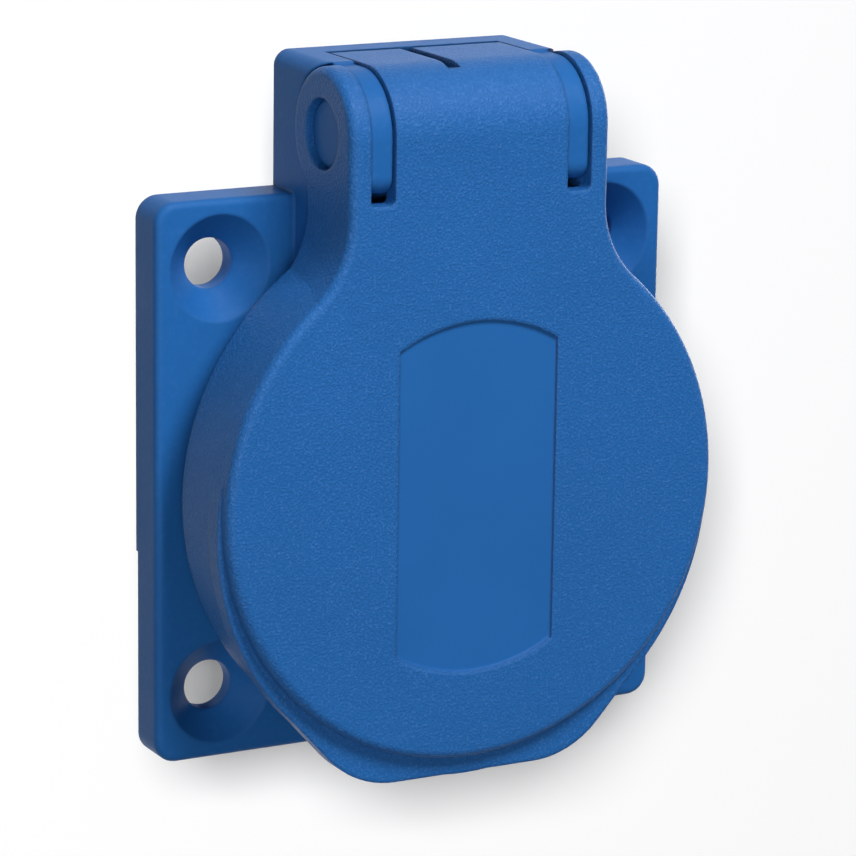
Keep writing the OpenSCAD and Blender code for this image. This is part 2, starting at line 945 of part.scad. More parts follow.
// slotted screw along Z, its tip on the clamp plate
module terminal_screw() {
    slot_w = 0.8;
    color(steel)
        translate([0, cage_mid, 0])
            difference() {
                union() {
                    rod_z(screw_r, screw_tip, screw_top - screw_head_t + 0.1);
                    rod_z(screw_head_r, screw_top - screw_head_t, screw_top);
                }
                block(-screw_head_r - 1, screw_head_r + 1, -slot_w / 2, slot_w / 2, screw_top - 0.9, screw_top + 1);
            }
}

module live_screw() {
    at_terminal(-pin_pitch / 2)
        terminal_screw();
}

module neutral_screw() {
    at_terminal(pin_pitch / 2)
        terminal_screw();
}

module earth_screw() {
    at_terminal(0)
        terminal_screw();
}

// screw along Y with a cross slot, head against its seat in the carrier
module carrier_screw(s) {
    color(steel)
        translate([s * cscrew_x, 0, cscrew_z])
            difference() {
                union() {
                    rod_y(cscrew_r, well_floor + 1.4, cscrew_seat + 0.1);
                    rod_y(screw_head_r, cscrew_seat, cscrew_seat + screw_head_t);
                }
                for (a = [0, 90])
                    rotate([0, a, 0])
                        block(-1.8, 1.8, cscrew_seat + screw_head_t - 1.1, cscrew_seat + screw_head_t + 1, -0.35, 0.35);
            }
}

module carrier_screw_left() {
    carrier_screw(-1);
}

module carrier_screw_right() {
    carrier_screw(1);
}

housing();
lid();
hinge_pin();
lid_spring();
lid_gasket();
panel_seal();
socket_face();
terminal_carrier();
rear_ring();
live_contact();
neutral_contact();
live_contact_spring();
neutral_contact_spring();
earth_strap();
live_clamp();
neutral_clamp();
earth_clamp();
live_screw();
neutral_screw();
earth_screw();
carrier_screw_left();
carrier_screw_right();
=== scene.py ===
import json
import math

import bpy
import numpy as np
from bpy.props import FloatProperty, FloatVectorProperty, IntProperty, PointerProperty
from mathutils import Matrix, Vector


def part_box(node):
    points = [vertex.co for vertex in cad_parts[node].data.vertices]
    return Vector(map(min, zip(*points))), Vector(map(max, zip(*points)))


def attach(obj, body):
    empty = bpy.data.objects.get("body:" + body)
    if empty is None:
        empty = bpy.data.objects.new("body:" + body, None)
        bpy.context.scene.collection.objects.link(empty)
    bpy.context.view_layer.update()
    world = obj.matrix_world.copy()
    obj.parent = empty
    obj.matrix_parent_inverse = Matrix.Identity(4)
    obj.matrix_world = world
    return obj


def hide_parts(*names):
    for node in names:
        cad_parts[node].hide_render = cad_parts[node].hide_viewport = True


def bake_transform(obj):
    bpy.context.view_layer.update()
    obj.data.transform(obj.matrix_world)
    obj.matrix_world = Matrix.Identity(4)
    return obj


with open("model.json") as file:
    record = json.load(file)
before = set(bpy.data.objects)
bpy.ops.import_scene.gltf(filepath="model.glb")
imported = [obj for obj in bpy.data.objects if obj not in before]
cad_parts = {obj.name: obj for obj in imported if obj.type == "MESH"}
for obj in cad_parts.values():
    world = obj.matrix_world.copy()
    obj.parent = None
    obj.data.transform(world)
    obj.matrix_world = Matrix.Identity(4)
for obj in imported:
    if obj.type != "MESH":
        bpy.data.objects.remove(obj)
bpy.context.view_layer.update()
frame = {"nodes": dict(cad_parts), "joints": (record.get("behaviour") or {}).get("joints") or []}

bl_info = {
    "name": "Panel Socket Finish",
    "version": (1, 0, 0),
    "blender": (4, 5, 0),
    "location": "View3D > Sidebar > Panel Socket",
    "description": "Dresses the panel socket: moulded plastic, metal and rubber finishes, "
                   "the lid's spring and its seals",
    "category": "Object",
}

NODES = frame["nodes"]
JOINT = next(j for j in frame["joints"] if j["name"] == "lid_hinge")

MM = 0.001
WHITE = (1, 1, 1, 1)

# The smooth field sunk in the lid's face: its place along Y, the leeway there, and its reach
FIELD_DEPTH = -16.0 * MM
FIELD_LEEWAY = 0.06 * MM
FIELD_HALF_WIDTH = 7.75 * MM
FIELD_HALF_HEIGHT = 16.6 * MM

# The lid's spring
SPRING_STEEL = (0.42, 0.41, 0.40)
WIRE_SIDES = 14
WIRE_FIT = 0.48                 # radius over diameter, so that the turns stay clear of each other
WIRE_LEAN = (1.0, 0.13, 0.07)   # a direction that no part of the wire takes
DOME_RINGS = 2
DOME_DEPTH = 0.6                # depth of a wire's domed end over its radius
TURN_STEPS = 40
FIXED_LEG_STEPS = 14
FREE_LEG_STEPS = 10
LEG_SETBACK = 0.2 * MM

# The seals
SEAL_STEPS = 180
CORNER_STEPS = 7
CROWN_DEPTH = 0.16 * MM

# The stage
SENSOR = 36.0                   # in millimetres, as the lens is
CLIP = (0.01, 20)
SHEET_BEND = 0.045
SHEET_REACH = 1.6
FLAT_STEPS = 12
BEND_STEPS = 24
PAPER = (0.98, 0.98, 0.98, 1)
PAPER_LIFT = 0.04
DROP_DISTANCE = 2.0
DROP_SIZE = 0.38
LAMPS = {                       # place and size of each light on the socket
    "key": ((0.07, -0.37, 0.47), 0.22),
    "fill": ((-0.33, -0.52, 0.02), 0.30),
    "rear": ((0.50, 0.36, 0.05), 0.30),
}


# ---------------------------------------------------------------- settings

class PlasticSettings(bpy.types.PropertyGroup):
    blue: FloatVectorProperty(
        name="Blue", description="Colour of the blue mouldings",
        subtype="COLOR", size=3, min=0, max=1, default=(0.0145, 0.110, 0.345))
    grey: FloatVectorProperty(
        name="Grey", description="Colour of the inner mouldings",
        subtype="COLOR", size=3, min=0, max=1, default=(0.032, 0.034, 0.039))
    grain: FloatProperty(
        name="Grain", description="Width of a grain of the lid's eroded surface",
        subtype="DISTANCE", unit="LENGTH", default=0.00011)
    depth: FloatProperty(
        name="Grain depth", description="Depth of the lid's grain",
        subtype="DISTANCE", unit="LENGTH", default=0.000034)
    edge: FloatProperty(
        name="Edge", description="Radius of the soft moulded edges",
        subtype="DISTANCE", unit="LENGTH", default=0.0005)
    lid_roughness: FloatProperty(
        name="Lid roughness", description="Roughness of the grained lid",
        subtype="FACTOR", min=0, max=1, default=0.45)
    housing_roughness: FloatProperty(
        name="Housing roughness", description="Roughness of the smooth housing",
        subtype="FACTOR", min=0, max=1, default=0.45)


class MetalSettings(bpy.types.PropertyGroup):
    brass: FloatVectorProperty(
        name="Brass", description="Colour of the contacts",
        subtype="COLOR", size=3, min=0, max=1, default=(0.60, 0.38, 0.10))
    zinc: FloatVectorProperty(
        name="Zinc", description="Colour of the plated steel",
        subtype="COLOR", size=3, min=0, max=1, default=(0.46, 0.46, 0.48))
    brush: FloatProperty(
        name="Brush", description="Width of a brush mark",
        subtype="DISTANCE", unit="LENGTH", default=0.00012)


class SpringSettings(bpy.types.PropertyGroup):
    wire: FloatProperty(
        name="Wire", description="Diameter of the spring's wire",
        subtype="DISTANCE", unit="LENGTH", default=0.0008)
    coil: FloatProperty(
        name="Coil radius", description="Radius of the coil at the middle of its wire",
        subtype="DISTANCE", unit="LENGTH", default=0.00365)
    turns: IntProperty(
        name="Turns", description="Whole turns of the coil", min=3, max=10, default=5)
    start: FloatProperty(
        name="First turn", description="Place of the first turn along the pin",
        subtype="DISTANCE", unit="LENGTH", default=-0.001)
    pitch: FloatProperty(
        name="Pitch", description="Distance from turn to turn",
        subtype="DISTANCE", unit="LENGTH", default=0.00081)


class SealSettings(bpy.types.PropertyGroup):
    colour: FloatVectorProperty(
        name="Rubber", description="Colour of the seals",
        subtype="COLOR", size=3, min=0, max=1, default=(0.012, 0.012, 0.013))
    rounding: FloatProperty(
        name="Rounding", description="Rounding of the seals' edges",
        subtype="DISTANCE", unit="LENGTH", default=0.00025)


class StageSettings(bpy.types.PropertyGroup):
    azimuth: FloatProperty(
        name="Azimuth", description="Camera's angle round the socket",
        subtype="ANGLE", unit="ROTATION", default=math.radians(-28.069))
    elevation: FloatProperty(
        name="Elevation", description="Camera's angle above the horizon",
        subtype="ANGLE", unit="ROTATION", default=math.radians(13.768))
    roll: FloatProperty(
        name="Roll", description="Camera's roll",
        subtype="ANGLE", unit="ROTATION", default=math.radians(0.847))
    distance: FloatProperty(
        name="Distance", description="Camera's distance from its target",
        subtype="DISTANCE", unit="LENGTH", default=0.372085)
    target: FloatVectorProperty(
        name="Target", description="Point that the camera looks at",
        subtype="XYZ", unit="LENGTH", size=3, default=(0.00375, 0.0, 0.001602))
    lens: FloatProperty(
        name="Lens", description="Focal length in millimetres on a 36 mm sensor",
        default=173.46)
    wall: FloatProperty(
        name="Backdrop", description="Distance from the panel's plane to the backdrop",
        subtype="DISTANCE", unit="LENGTH", default=0.032)
    floor: FloatProperty(
        name="Floor", description="Height of the floor",
        subtype="DISTANCE", unit="LENGTH", default=-0.16)
    drop: FloatProperty(
        name="Drop shadow", description="Power of the backdrop's own light in watts",
        default=45.0)
    drop_side: FloatProperty(
        name="Drop side", description="How far the backdrop's light stands left of the camera",
        subtype="ANGLE", unit="ROTATION", default=math.radians(1.6))
    drop_rise: FloatProperty(
        name="Drop rise", description="How far the backdrop's light stands above the camera",
        subtype="ANGLE", unit="ROTATION", default=math.radians(4.2))
    key: FloatProperty(
        name="Key", description="Power of the light in front and above in watts", default=3.9)
    fill: FloatProperty(
        name="Fill", description="Power of the light at the left in watts", default=1.6)
    rear: FloatProperty(
        name="Rear", description="Power of the light behind in watts", default=3.5)
    ambient: FloatProperty(
        name="Ambient", description="Strength of the even light from all round", default=0.07)


SETTINGS = {
    "socket_plastic": PlasticSettings,
    "socket_metal": MetalSettings,
    "socket_spring": SpringSettings,
    "socket_seal": SealSettings,
    "socket_stage": StageSettings,
}


# ---------------------------------------------------------------- node helpers

def new_group(name, inputs, outputs):
    """Makes a shader node group with named sockets; returns it with its input and output nodes."""
    group = bpy.data.node_groups.new(name, "ShaderNodeTree")
    for label, kind, value in inputs:
        socket = group.interface.new_socket(name=label, in_out="INPUT", socket_type=kind)
        if value is not None:
            socket.default_value = value
    for label, kind in outputs:
        group.interface.new_socket(name=label, in_out="OUTPUT", socket_type=kind)
    return group, group.nodes.new("NodeGroupInput"), group.nodes.new("NodeGroupOutput")


def fill_in(tree, made, inputs):
    """Fills a node's inputs, each with a value or a link."""
    for key, value in inputs.items():
        if isinstance(value, bpy.types.NodeSocket):
            tree.links.new(value, made.inputs[key])
        else:
            made.inputs[key].default_value = value


def node(tree, kind, inputs=None, **values):
    """Adds a node, sets its properties and fills its inputs."""
    made = tree.nodes.new(kind)
    for key, value in values.items():
        setattr(made, key, value)
    fill_in(tree, made, inputs or {})
    return made


def maths(tree, operation, a, b=None, clamp=False):
    """Adds a Math node on one or two values or links and returns its result."""
    inputs = {0: a} if b is None else {0: a, 1: b}
    return node(tree, "ShaderNodeMath", inputs, operation=operation, use_clamp=clamp).outputs[0]


def ramp(tree, value, low, high, kind="LINEAR"):
    """Adds a Map Range node that runs from 0 at low to 1 at high and returns its result."""
    return node(tree, "ShaderNodeMapRange", {"Value": value, "From Min": low, "From Max": high},
                interpolation_type=kind).outputs[0]


def noise(tree, vector, scale, **inputs):
    """Adds a Noise Texture node and returns its value."""
    given = {"Vector": vector, "Scale": scale}
    given.update((key.capitalize(), value) for key, value in inputs.items())
    return node(tree, "ShaderNodeTexNoise", given).outputs[0]


def mix(tree, factor, a, b):
    """Mixes two colours by a factor."""
    return node(tree, "ShaderNodeMix", {0: factor, 6: a, 7: b}, data_type="RGBA").outputs[2]


def place(tree, name, **inputs):
    """Places a shared group in a material with that material's own values."""
    made = tree.nodes.new("ShaderNodeGroup")
    made.node_tree = bpy.data.node_groups[name]
    fill_in(tree, made, {key.capitalize(): value for key, value in inputs.items()})
    return made


def lay_out(tree):
    """Puts the nodes in rows, so that the tree can be read."""
    for i, made in enumerate(tree.nodes):
        made.location = (220 * (i % 8), -260 * (i // 8))


# ---------------------------------------------------------------- shared effects

def build_grain():
    """Eroded grain: two sizes of noise added up, raised to blunt peaks.

    Glint is a mask of its highest peaks, where the plastic paints glints, and Pit is a mask of its
    lowest hollows, where the plastic paints shade and the rubber puts dust.
    """
    fine_share, wide_share, wide_scale = 0.88, 0.12, 0.37
    blunt, peaks, hollows = (0.3, 0.7), (0.54, 0.68), (0.46, 0.33)
    group, given, out = new_group(
        "moulded grain",
        [("Vector", "NodeSocketVector", None), ("Size", "NodeSocketFloat", 0.0002)],
        [("Height", "NodeSocketFloat"), ("Fleck", "NodeSocketFloat"), ("Pit", "NodeSocketFloat")])
    vector = given.outputs["Vector"]
    scale = maths(group, "DIVIDE", 0.5, given.outputs["Size"])
    fine = noise(group, vector, scale, detail=2.0, roughness=0.55)
    wide = noise(group, vector, maths(group, "MULTIPLY", scale, wide_scale), detail=1.0)
    height = maths(group, "ADD", maths(group, "MULTIPLY", fine, fine_share),
                   maths(group, "MULTIPLY", wide, wide_share))
    group.links.new(ramp(group, height, *blunt, kind="SMOOTHSTEP"), out.inputs["Height"])
    group.links.new(ramp(group, height, *peaks), out.inputs["Fleck"])
    group.links.new(ramp(group, height, *hollows), out.inputs["Pit"])
    lay_out(group)


def build_drift():
    """Slow change of tone: a colour times one plus twice the wide noise's swing about a half."""
    group, given, out = new_group(
        "tone drift",
        [("Vector", "NodeSocketVector", None), ("Colour", "NodeSocketColor", (0.5, 0.5, 0.5, 1)),
         ("Amount", "NodeSocketFloat", 0.06), ("Size", "NodeSocketFloat", 0.012)],
        [("Colour", "NodeSocketColor"), ("Wave", "NodeSocketFloat")])
    scale = maths(group, "DIVIDE", 1.0, given.outputs["Size"])
    wave = noise(group, given.outputs["Vector"], scale, detail=2.0)
    swing = maths(group, "MULTIPLY", maths(group, "SUBTRACT", wave, 0.5), given.outputs["Amount"])
    gain = maths(group, "ADD", 1.0, maths(group, "MULTIPLY", swing, 2.0))
    tone = node(group, "ShaderNodeVectorMath", {0: given.outputs["Colour"], "Scale": gain},
                operation="SCALE")
    group.links.new(tone.outputs[0], out.inputs["Colour"])
    group.links.new(wave, out.inputs["Wave"])
    lay_out(group)


def build_edge():
    """Edge mask: how far a rounded normal has turned away from the face's own normal.

    It grows from 0 to 1 as their dot product falls from the first bound to the second.
    """
    bounds = (0.995, 0.80)
    group, given, out = new_group(
        "edge mask", [("Soft", "NodeSocketVector", None), ("Face", "NodeSocketVector", None)],
        [("Mask", "NodeSocketFloat")])
    dot = node(group, "ShaderNodeVectorMath",
               {0: given.outputs["Soft"], 1: given.outputs["Face"]},
               operation="DOT_PRODUCT").outputs["Value"]
    group.links.new(ramp(group, dot, *bounds), out.inputs["Mask"])
    lay_out(group)


def build_brush():
    """Brush marks: noise drawn out long along Y, and a mask of a wide dull cloud."""
    stretch, cloud_scale, cloudy = (1.0, 0.06, 1.0), 420.0, (0.4, 0.7)
    group, given, out = new_group(
        "brush marks",
        [("Vector", "NodeSocketVector", None), ("Size", "NodeSocketFloat", 0.0001)],
        [("Height", "NodeSocketFloat"), ("Dull", "NodeSocketFloat")])
    vector = given.outputs["Vector"]
    scale = maths(group, "DIVIDE", 0.5, given.outputs["Size"])
    long = node(group, "ShaderNodeVectorMath", {0: vector, 1: stretch}, operation="MULTIPLY")
    cloud = noise(group, vector, cloud_scale, detail=3.0)
    group.links.new(noise(group, long.outputs[0], scale, detail=3.0), out.inputs["Height"])
    group.links.new(ramp(group, cloud, *cloudy), out.inputs["Dull"])
    lay_out(group)


def build_field():
    """Label field mask: 1 for points at the field's depth, inside its width and height."""
    group, given, out = new_group(
        "label field",
        [("Vector", "NodeSocketVector", None), ("Depth", "NodeSocketFloat", FIELD_DEPTH)],
        [("Mask", "NodeSocketFloat")])
    xyz = node(group, "ShaderNodeSeparateXYZ", {0: given.outputs["Vector"]})
    level = maths(group, "COMPARE", xyz.outputs["Y"], given.outputs["Depth"])
    level.node.inputs[2].default_value = FIELD_LEEWAY
    across, along = (maths(group, "LESS_THAN", maths(group, "ABSOLUTE", xyz.outputs[axis]), reach)
                     for axis, reach in (("X", FIELD_HALF_WIDTH), ("Z", FIELD_HALF_HEIGHT)))
    mask = maths(group, "MULTIPLY", level, maths(group, "MULTIPLY", across, along))
    group.links.new(mask, out.inputs["Mask"])
    lay_out(group)


# ---------------------------------------------------------------- finishes

def start_material(name):
    """A new material with only a plain shader, its output and the piece's own coordinates."""
    material = bpy.data.materials.new(name)
    material.use_nodes = True
    tree = material.node_tree
    tree.nodes.clear()
    shader = tree.nodes.new("ShaderNodeBsdfPrincipled")
    output = tree.nodes.new("ShaderNodeOutputMaterial")
    tree.links.new(shader.outputs[0], output.inputs[0])
    where = tree.nodes.new("ShaderNodeTexCoord").outputs["Object"]
    return material, tree, shader, where


def tint(colour, gain=1.0, lift=0.0):
    """An opaque colour whose channels are the given ones times gain plus lift, at most 1."""
    return tuple(min(1.0, c * gain + lift) for c in colour) + (1.0,)


def soft_edges(tree, radius):
    """A normal rounded over the edges, and the mask of those edges."""
    soft = node(tree, "ShaderNodeBevel", {"Radius": radius}, samples=4).outputs[0]
    face = tree.nodes.new("ShaderNodeNewGeometry").outputs["Normal"]
    return soft, place(tree, "edge mask", soft=soft, face=face).outputs["Mask"]


def raise_surface(tree, shader, inputs):
    """Raises the surface with a bump that feeds the shader's normal."""
    bump = node(tree, "ShaderNodeBump", {**inputs, "Strength": 1.0})
    tree.links.new(bump.outputs[0], shader.inputs["Normal"])


def plastic(name, colour, roughness, grain, depth, edge, painted_grain_shading=0.0, field=False, gloss=0.1):
    """Moulded plastic: grain of a given size and depth, drift of tone, painted glints on the
    grain's peaks and painted shade in its hollows, and soft edges lightened as a painted
    highlight.
    """
    # The first share lightens the soft edges as a painted highlight.
    edge_highlight_share, polish = 0.22, 0.16
    material, tree, shader, where = start_material(name)
    soft, edge_highlight_mask = soft_edges(tree, edge)
    drift = place(tree, "tone drift", vector=where, colour=tint(colour), amount=0.07, size=0.011)
    marks = place(tree, "moulded grain", vector=where, size=grain)
    high, low, lift = marks.outputs["Fleck"], marks.outputs["Pit"], marks.outputs["Height"]
    if field:
        smooth_part = place(tree, "label field", vector=where).outputs["Mask"]
        rough_part = maths(tree, "SUBTRACT", 1.0, smooth_part)
        high, low, lift = (maths(tree, "MULTIPLY", s, rough_part) for s in (high, low, lift))
    light, dark = tint(colour, gain=1.25, lift=0.045), tint(colour, gain=0.72)
    tone = drift.outputs["Colour"]
    # Painted light: the grain's peaks are lightened as painted glints and its hollows darkened as
    # painted shade, by the grain's share.
    for mask, share, shade in ((high, painted_grain_shading, light), (low, painted_grain_shading, dark), (edge_highlight_mask, edge_highlight_share, light)):
        # Painted highlight: the soft edges are lightened towards the lighter tone.
        tone = mix(tree, maths(tree, "MULTIPLY", mask, share), tone, shade)
    tree.links.new(tone, shader.inputs["Base Color"])
    shader.inputs["Specular IOR Level"].default_value = gloss
    wave = maths(tree, "SUBTRACT", drift.outputs["Wave"], 0.5)
    rough = maths(tree, "ADD", roughness, maths(tree, "MULTIPLY", wave, polish), clamp=True)
    tree.links.new(rough, shader.inputs["Roughness"])
    raise_surface(tree, shader, {"Height": lift, "Normal": soft, "Distance": depth})
    lay_out(tree)
    return material


def metal(name, colour, brush, roughness, dull):
    """Bare or plated metal: brush marks, a dull cloud of tarnish and soft edges lightened as a
    painted highlight.
    """
    edge, edge_highlight_share, dulling = 0.12 * MM, 0.6, 0.18
    material, tree, shader, where = start_material(name)
    soft, edge_highlight_mask = soft_edges(tree, edge)
    marks = place(tree, "brush marks", vector=where, size=brush)
    tone = mix(tree, marks.outputs["Dull"], tint(colour), tint(colour, gain=dull))
    # Painted highlight: the soft edges are lightened.
    tone = mix(tree, maths(tree, "MULTIPLY", edge_highlight_mask, edge_highlight_share), tone, tint(colour, gain=1.3))
    tree.links.new(tone, shader.inputs["Base Color"])
    shader.inputs["Metallic"].default_value = 1.0
    rough = maths(tree, "ADD", roughness, maths(tree, "MULTIPLY", marks.outputs["Dull"], dulling))
    tree.links.new(rough, shader.inputs["Roughness"])
    raise_surface(tree, shader, {"Height": marks.outputs["Height"], "Normal": soft,
                                 "Distance": 0.004 * MM})
    lay_out(tree)
    return material


def rubber(name, colour):
    """Matt rubber with a fine skin and a breath of pale dust in its pits."""
    dust, matt, swing = 0.5, 0.62, 0.2
    material, tree, shader, where = start_material(name)
    marks = place(tree, "moulded grain", vector=where, size=0.16 * MM)
    drift = place(tree, "tone drift", vector=where, colour=tint(colour), amount=0.25, size=0.006)
    dusty = mix(tree, maths(tree, "MULTIPLY", marks.outputs["Pit"], dust),
                drift.outputs["Colour"], tint(colour, lift=0.02))
    tree.links.new(dusty, shader.inputs["Base Color"])
    rough = maths(tree, "ADD", matt, maths(tree, "MULTIPLY", drift.outputs["Wave"], swing))
    tree.links.new(rough, shader.inputs["Roughness"])
    raise_surface(tree, shader, {"Height": marks.outputs["Height"], "Distance": 0.01 * MM})
    lay_out(tree)
    return material


def finish_with(names, material):
    """Gives the named solids one finish."""
    for name in names:
        slots = NODES[name].data.materials
        slots.clear()
        slots.append(material)


# ---------------------------------------------------------------- surfaces

def grid_faces(rows, columns, wrap_rows=False, wrap_columns=True):
    """Quads between the points of a grid, four indices each; either way may close on itself."""
    r = np.arange(rows if wrap_rows else rows - 1)[:, None]
    c = np.arange(columns if wrap_columns else columns - 1)[None, :]
    r1, c1 = (r + 1) % rows, (c + 1) % columns
    quads = np.stack([r * columns + c, r * columns + c1, r1 * columns + c1, r1 * columns + c],
                     axis=-1)
    return quads.reshape(-1, 4)


def add_piece(name, points, faces, body, material):
    """Puts points and faces into a smooth mesh at the origin with its material, and joins it to a
    body when one is given.
    """
    mesh = bpy.data.meshes.new(name)
    mesh.from_pydata(points.tolist(), [], [list(map(int, f)) for f in faces])
    mesh.polygons.foreach_set("use_smooth", np.full(len(mesh.polygons), True))
    mesh.materials.append(material)
    mesh.validate()
    mesh.update()
    made = bpy.data.objects.new(name, mesh)
    bpy.context.scene.collection.objects.link(made)
    if body:
        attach(made, body)
    return made


def wire_rings(path, radius):
    """Centre, radius and direction of each ring of a round wire along a path.

    A ring's direction is the difference of its neighbouring points, made a unit long. Each end
    closes over a dome: more rings there shrink as a cosine while they move on as a sine.
    """
    way = np.gradient(path, axis=0)
    way /= np.linalg.norm(way, axis=1, keepdims=True)
    bend = np.linspace(0, math.pi / 2, DOME_RINGS + 2)[1:-1]
    head = path[0] - np.sin(bend[::-1])[:, None] * radius * DOME_DEPTH * way[0]
    tail = path[-1] + np.sin(bend)[:, None] * radius * DOME_DEPTH * way[-1]
    centre = np.vstack([head, path, tail])
    size = np.concatenate([np.cos(bend[::-1]), np.ones(len(path)), np.cos(bend)]) * radius
    return centre, size, repeat_ends(way)


def repeat_ends(rows):
    """The rows with the first and the last one repeated for the rings of the domes."""
    return np.vstack([np.repeat(rows[:1], DOME_RINGS, axis=0), rows,
                      np.repeat(rows[-1:], DOME_RINGS, axis=0)])


def wire_mesh(path, radius, sides, lean):
    """A closed round wire along a path; lean gives each point a vector that is never along it.

    The first cross axis is the lean made square to the direction, and the second is the cross
    product of the direction and the first. A ring's points are its centre plus its radius times
    (cosine, sine) of each side's angle on the two axes, and a fan closes each dome over a point.
    """
    centre, size, way = wire_rings(path, radius)
    lean = repeat_ends(lean)
    one = lean - (lean * way).sum(1, keepdims=True) * way
    one /= np.linalg.norm(one, axis=1, keepdims=True)
    two = np.cross(way, one)
    turn = np.linspace(0, 2 * math.pi, sides, endpoint=False)
    ring = (np.cos(turn)[None, :, None] * one[:, None, :]
            + np.sin(turn)[None, :, None] * two[:, None, :])
    points = (centre[:, None, :] + size[:, None, None] * ring).reshape(-1, 3)
    faces = grid_faces(len(centre), sides).tolist()
    first, last = len(points), len(points) + 1
    points = np.vstack([points, path[0] - DOME_DEPTH * radius * way[0],
                        path[-1] + DOME_DEPTH * radius * way[-1]])
    step = np.arange(sides)
    after = (step + 1) % sides
    base = (len(centre) - 1) * sides
    faces += [[first, int(b), int(a)] for a, b in zip(step, after)]
    faces += [[last, base + int(a), base + int(b)] for a, b in zip(step, after)]
    return points, faces


def ring_mesh(outline, steps):
    """A closed outline of (radius, depth) turned about the Y axis.

    At each turn x is radius times cosine, y is depth and z is radius times sine.
    """
    turn = np.linspace(0, 2 * math.pi, steps, endpoint=False)[:, None]
    radius, depth = outline[:, 0][None, :], outline[:, 1][None, :]
    points = np.stack([radius * np.cos(turn), np.broadcast_to(depth, (steps, len(outline))),
                       radius * np.sin(turn)], axis=-1).reshape(-1, 3)
    return points, grid_faces(steps, len(outline), wrap_rows=True)


def rounded_box(low, high, rounding, per_corner):
    """Outline of a rectangle whose corners are quarter circles of the rounding's radius."""
    low, high = np.array(low), np.array(high)
    turn = np.linspace(0, math.pi / 2, per_corner)
    corners = [(high[0], high[1]), (low[0], high[1]), (low[0], low[1]), (high[0], low[1])]
    parts = []
    for quarter, corner in enumerate(map(np.array, corners)):
        centre = corner - rounding * np.sign(corner - (low + high) / 2)
        angle = turn + quarter * math.pi / 2
        parts.append(centre + rounding * np.stack([np.cos(angle), np.sin(angle)], axis=1))
    return np.vstack(parts)


# ---------------------------------------------------------------- pieces

def spring_path(coil, turns, start, pitch, axis_y, axis_z, seat_y, foot_z):
    """Middle line of the lid's spring.

    The fixed leg runs forward from its seat to the top of the coil. The coil's points are start
    minus pitch times turns along X, and radius times (cosine, sine) in Y and Z, with the angle
    growing from the top. It makes its whole turns and a quarter more, so that it leaves at the
    front going down, and the free leg runs on down from there.
    """
    leg = np.linspace(seat_y, axis_y, FIXED_LEG_STEPS)[:-1]
    fixed = np.stack([np.full_like(leg, start), leg, np.full_like(leg, axis_z + coil)], axis=1)
    rounds = turns + 0.25
    turn = np.linspace(0, rounds * 2 * math.pi, int(rounds * TURN_STEPS))
    along = start - pitch * turn / (2 * math.pi)
    angle = math.pi / 2 + turn
    wound = np.stack([along, axis_y + coil * np.cos(angle), axis_z + coil * np.sin(angle)], axis=1)
    drop = np.linspace(axis_z, foot_z, FREE_LEG_STEPS)[1:]
    free = np.stack([np.full_like(drop, along[-1]), np.full_like(drop, axis_y - coil), drop],
                    axis=1)
    return np.vstack([fixed, wound, free])


def seal_outline(node_name, rounding):
    """Outline of a seal's section inside its solid's box, with the back face crowned.

    A point there sinks by the crown's depth times one minus the size of a sine, which makes one
    whole turn across the width, so that the face falls off towards its two edges.
    """
    low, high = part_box(node_name)
    outer = high[0]
    inner = min(math.hypot(v.co[0], v.co[2]) for v in NODES[node_name].data.vertices)
    outline = rounded_box((inner, low[1]), (outer, high[1]), rounding, CORNER_STEPS)
    back = outline[:, 1] > (low[1] + high[1]) / 2
    share = np.clip((outline[:, 0] - inner) / (outer - inner), 0, 1)
    outline[back, 1] -= CROWN_DEPTH * (1 - np.abs(np.sin(share[back] * math.pi * 2)))
    return outline


class SOCKET_OT_effects(bpy.types.Operator):
    """Builds the shared effects that the finishes use"""
    bl_idname = "socket.effects"
    bl_label = "Shared effects"

    def execute(self, context):
        build_grain()
        build_drift()
        build_edge()
        build_brush()
        build_field()
        return {"FINISHED"}


class SOCKET_OT_housing(bpy.types.Operator):
    """Gives the housing and the hinge pin their smooth satin blue"""
    bl_idname = "socket.housing"
    bl_label = "Housing and pin"

    def execute(self, context):
        s = context.scene.socket_plastic
        # The grain's share here sets the painted glints and painted shade on the grain.
        smooth = plastic("blue plastic smooth", s.blue, s.housing_roughness,
                         grain=0.3 * MM, depth=0.004 * MM, edge=s.edge, painted_grain_shading=0.10)
        finish_with(["housing", "hinge_pin"], smooth)
        return {"FINISHED"}


class SOCKET_OT_lid(bpy.types.Operator):
    """Gives the lid its eroded grain, with a smooth field in its face"""
    bl_idname = "socket.lid"
    bl_label = "Lid"

    def execute(self, context):
        s = context.scene.socket_plastic
        # The grain's share here sets the painted glints and painted shade on the grain.
        grained = plastic("blue plastic grained", s.blue, s.lid_roughness,
                          grain=s.grain, depth=s.depth, edge=s.edge, painted_grain_shading=0.50, field=True,
                          gloss=0.14)
        finish_with(["lid"], grained)
        return {"FINISHED"}


class SOCKET_OT_insert(bpy.types.Operator):
    """Gives the socket face, the terminal carrier and the locking ring their dark moulded grey"""
    bl_idname = "socket.insert"
    bl_label = "Insert"

    def execute(self, context):
        s = context.scene.socket_plastic
        # The grain's share here sets the painted glints and painted shade on the grain.
        grey = plastic("grey plastic", s.grey, roughness=0.48,
                       grain=0.3 * MM, depth=0.010 * MM, edge=0.2 * MM, painted_grain_shading=0.35)
        finish_with(["socket_face", "terminal_carrier", "rear_ring"], grey)
        return {"FINISHED"}


